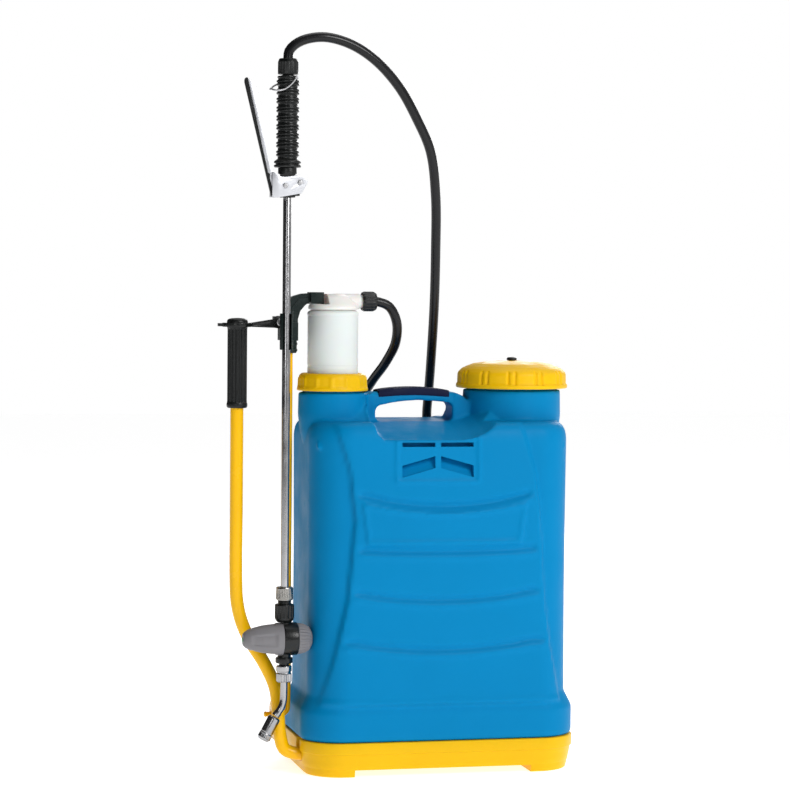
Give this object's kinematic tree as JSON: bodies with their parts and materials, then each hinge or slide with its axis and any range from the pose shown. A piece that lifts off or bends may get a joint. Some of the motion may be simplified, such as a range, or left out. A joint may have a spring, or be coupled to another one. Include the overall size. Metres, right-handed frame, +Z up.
{
  "type": "backpack lever sprayer",
  "caption": "Blue backpack tank on a yellow base with a side pump lever, translucent pump chamber, filler cap, carrying handle, hose and a clipped spray lance.",
  "frame": {"origin": "centre of the rigid assembly's footprint, on the floor plane under the feet", "axes": "+Z up, -Y out of the tank's front, +X towards the filler cap side"},
  "size_m": [0.4432, 0.2455, 0.9029],
  "materials": {
    "tank_blue": "blow-moulded polyethylene, soft gloss",
    "yellow_plastic": "injection-moulded, satin",
    "navy_plastic": "satin",
    "milky_plastic": "translucent white, satin",
    "black_plastic": "moulded, satin",
    "grey_plastic": "moulded, satin",
    "stainless": "polished tube and pressed parts",
    "chrome_brass": "plated brass",
    "yellow_paint": "gloss enamel on steel",
    "rubber": "moulded",
    "webbing": "woven strap"
  },
  "bodies": {
    "tank": {"tank_shell": "tank_blue", "handle_pad": "navy_plastic", "base_skid": "yellow_plastic", "base_screw_1": "stainless", "base_screw_2": "stainless", "base_screw_3": "stainless", "base_screw_4": "stainless", "pump_cylinder": "grey_plastic", "inlet_valve": "black_plastic", "inlet_ball": "stainless", "collar_gasket": "rubber", "collar_nut": "yellow_plastic", "hose_clip": "black_plastic", "hose_pump_loop": "rubber", "hose_main": "rubber", "strap_anchor": "black_plastic", "shoulder_strap_left": "webbing", "shoulder_strap_right": "webbing", "buckle_left": "black_plastic", "buckle_right": "black_plastic", "lower_web_left": "webbing", "lower_web_right": "webbing", "strap_hook_left": "stainless", "strap_hook_right": "stainless"},
    "pump_lever": {"lever_tube": "yellow_paint", "lever_grip": "rubber"},
    "pump_chamber": {"pressure_chamber": "milky_plastic", "chamber_head": "milky_plastic", "outlet_nut": "black_plastic", "piston_tube": "grey_plastic", "piston_seal": "rubber", "rod_head": "black_plastic", "link_rod": "yellow_paint", "lock_pin": "stainless"},
    "lock_arm": {"lock_arm": "black_plastic"},
    "filler_cap": {"filler_cap": "yellow_plastic", "cap_gasket": "rubber", "vent_valve": "black_plastic"},
    "strainer": {"strainer_basket": "black_plastic"},
    "lance": {"valve_body": "stainless", "handle_grip": "black_plastic", "hose_nut": "black_plastic", "lance_tube": "stainless", "lance_nut": "chrome_brass", "regulator_nut": "black_plastic", "regulator_body": "grey_plastic", "nozzle_nut": "chrome_brass", "nozzle_pipe": "chrome_brass", "trigger_pin": "stainless"},
    "trigger": {"trigger_lever": "stainless"},
    "catch": {"catch_wire": "stainless"},
    "regulator_knob": {"regulator_knob": "grey_plastic"},
    "nozzle_tip": {"nozzle_tip": "chrome_brass"}
  },
  "joints": [
    {"name": "lever_swing", "type": "hinge", "parent": "tank", "child": "pump_lever", "pos_m": [-0.153, -0.06875, 0.024], "axis": [-1, 0, 0], "range_deg": [0, 75]},
    {"name": "pump_stroke", "type": "slide", "parent": "tank", "child": "pump_chamber", "axis": [0, 0, -1], "range_m": [0, 0.0612], "deforming": ["hose_pump_loop"]},
    {"name": "lock_swing", "type": "hinge", "parent": "pump_chamber", "child": "lock_arm", "pos_m": [-0.151, -0.04575, 0.552], "axis": [0, 1, 0], "range_deg": [0, 60]},
    {"name": "cap_lift", "type": "slide", "parent": "tank", "child": "filler_cap", "axis": [0, 0, 1], "range_m": [0, 0.12]},
    {"name": "strainer_lift", "type": "slide", "parent": "tank", "child": "strainer", "axis": [0, 0, 1], "range_m": [0, 0.085]},
    {"name": "lance_unclip", "type": "slide", "parent": "tank", "child": "lance", "axis": [0, -1, 0], "range_m": [0, 0.04], "deforming": ["hose_main"]},
    {"name": "trigger_squeeze", "type": "hinge", "parent": "lance", "child": "trigger", "pos_m": [-0.135, -0.08575, 0.721], "axis": [0, 1, 0], "range_deg": [0, 7], "stiffness_Nm_per_rad": 3, "springref_deg": -5.73},
    {"name": "catch_swing", "type": "hinge", "parent": "lance", "child": "catch", "pos_m": [-0.141, -0.08575, 0.847], "axis": [0, 1, 0], "range_deg": [0, 40]},
    {"name": "regulator_turn", "type": "hinge", "parent": "lance", "child": "regulator_knob", "pos_m": [-0.155, -0.08575, 0.1675], "axis": [-1, 0, 0], "range_deg": [-150, 150]},
    {"name": "nozzle_turn", "type": "hinge", "parent": "lance", "child": "nozzle_tip", "pos_m": [-0.1599, -0.08575, 0.0722], "axis": [-0.4695, 0, -0.8829], "range_deg": [-120, 120]}
  ],
  "couplings": [
    {"joint": "pump_stroke", "follows": "lever_swing", "m_per_rad": 0.0466},
    {"joint": "strainer_lift", "follows": "cap_lift", "ratio": 0.7}
  ]
}
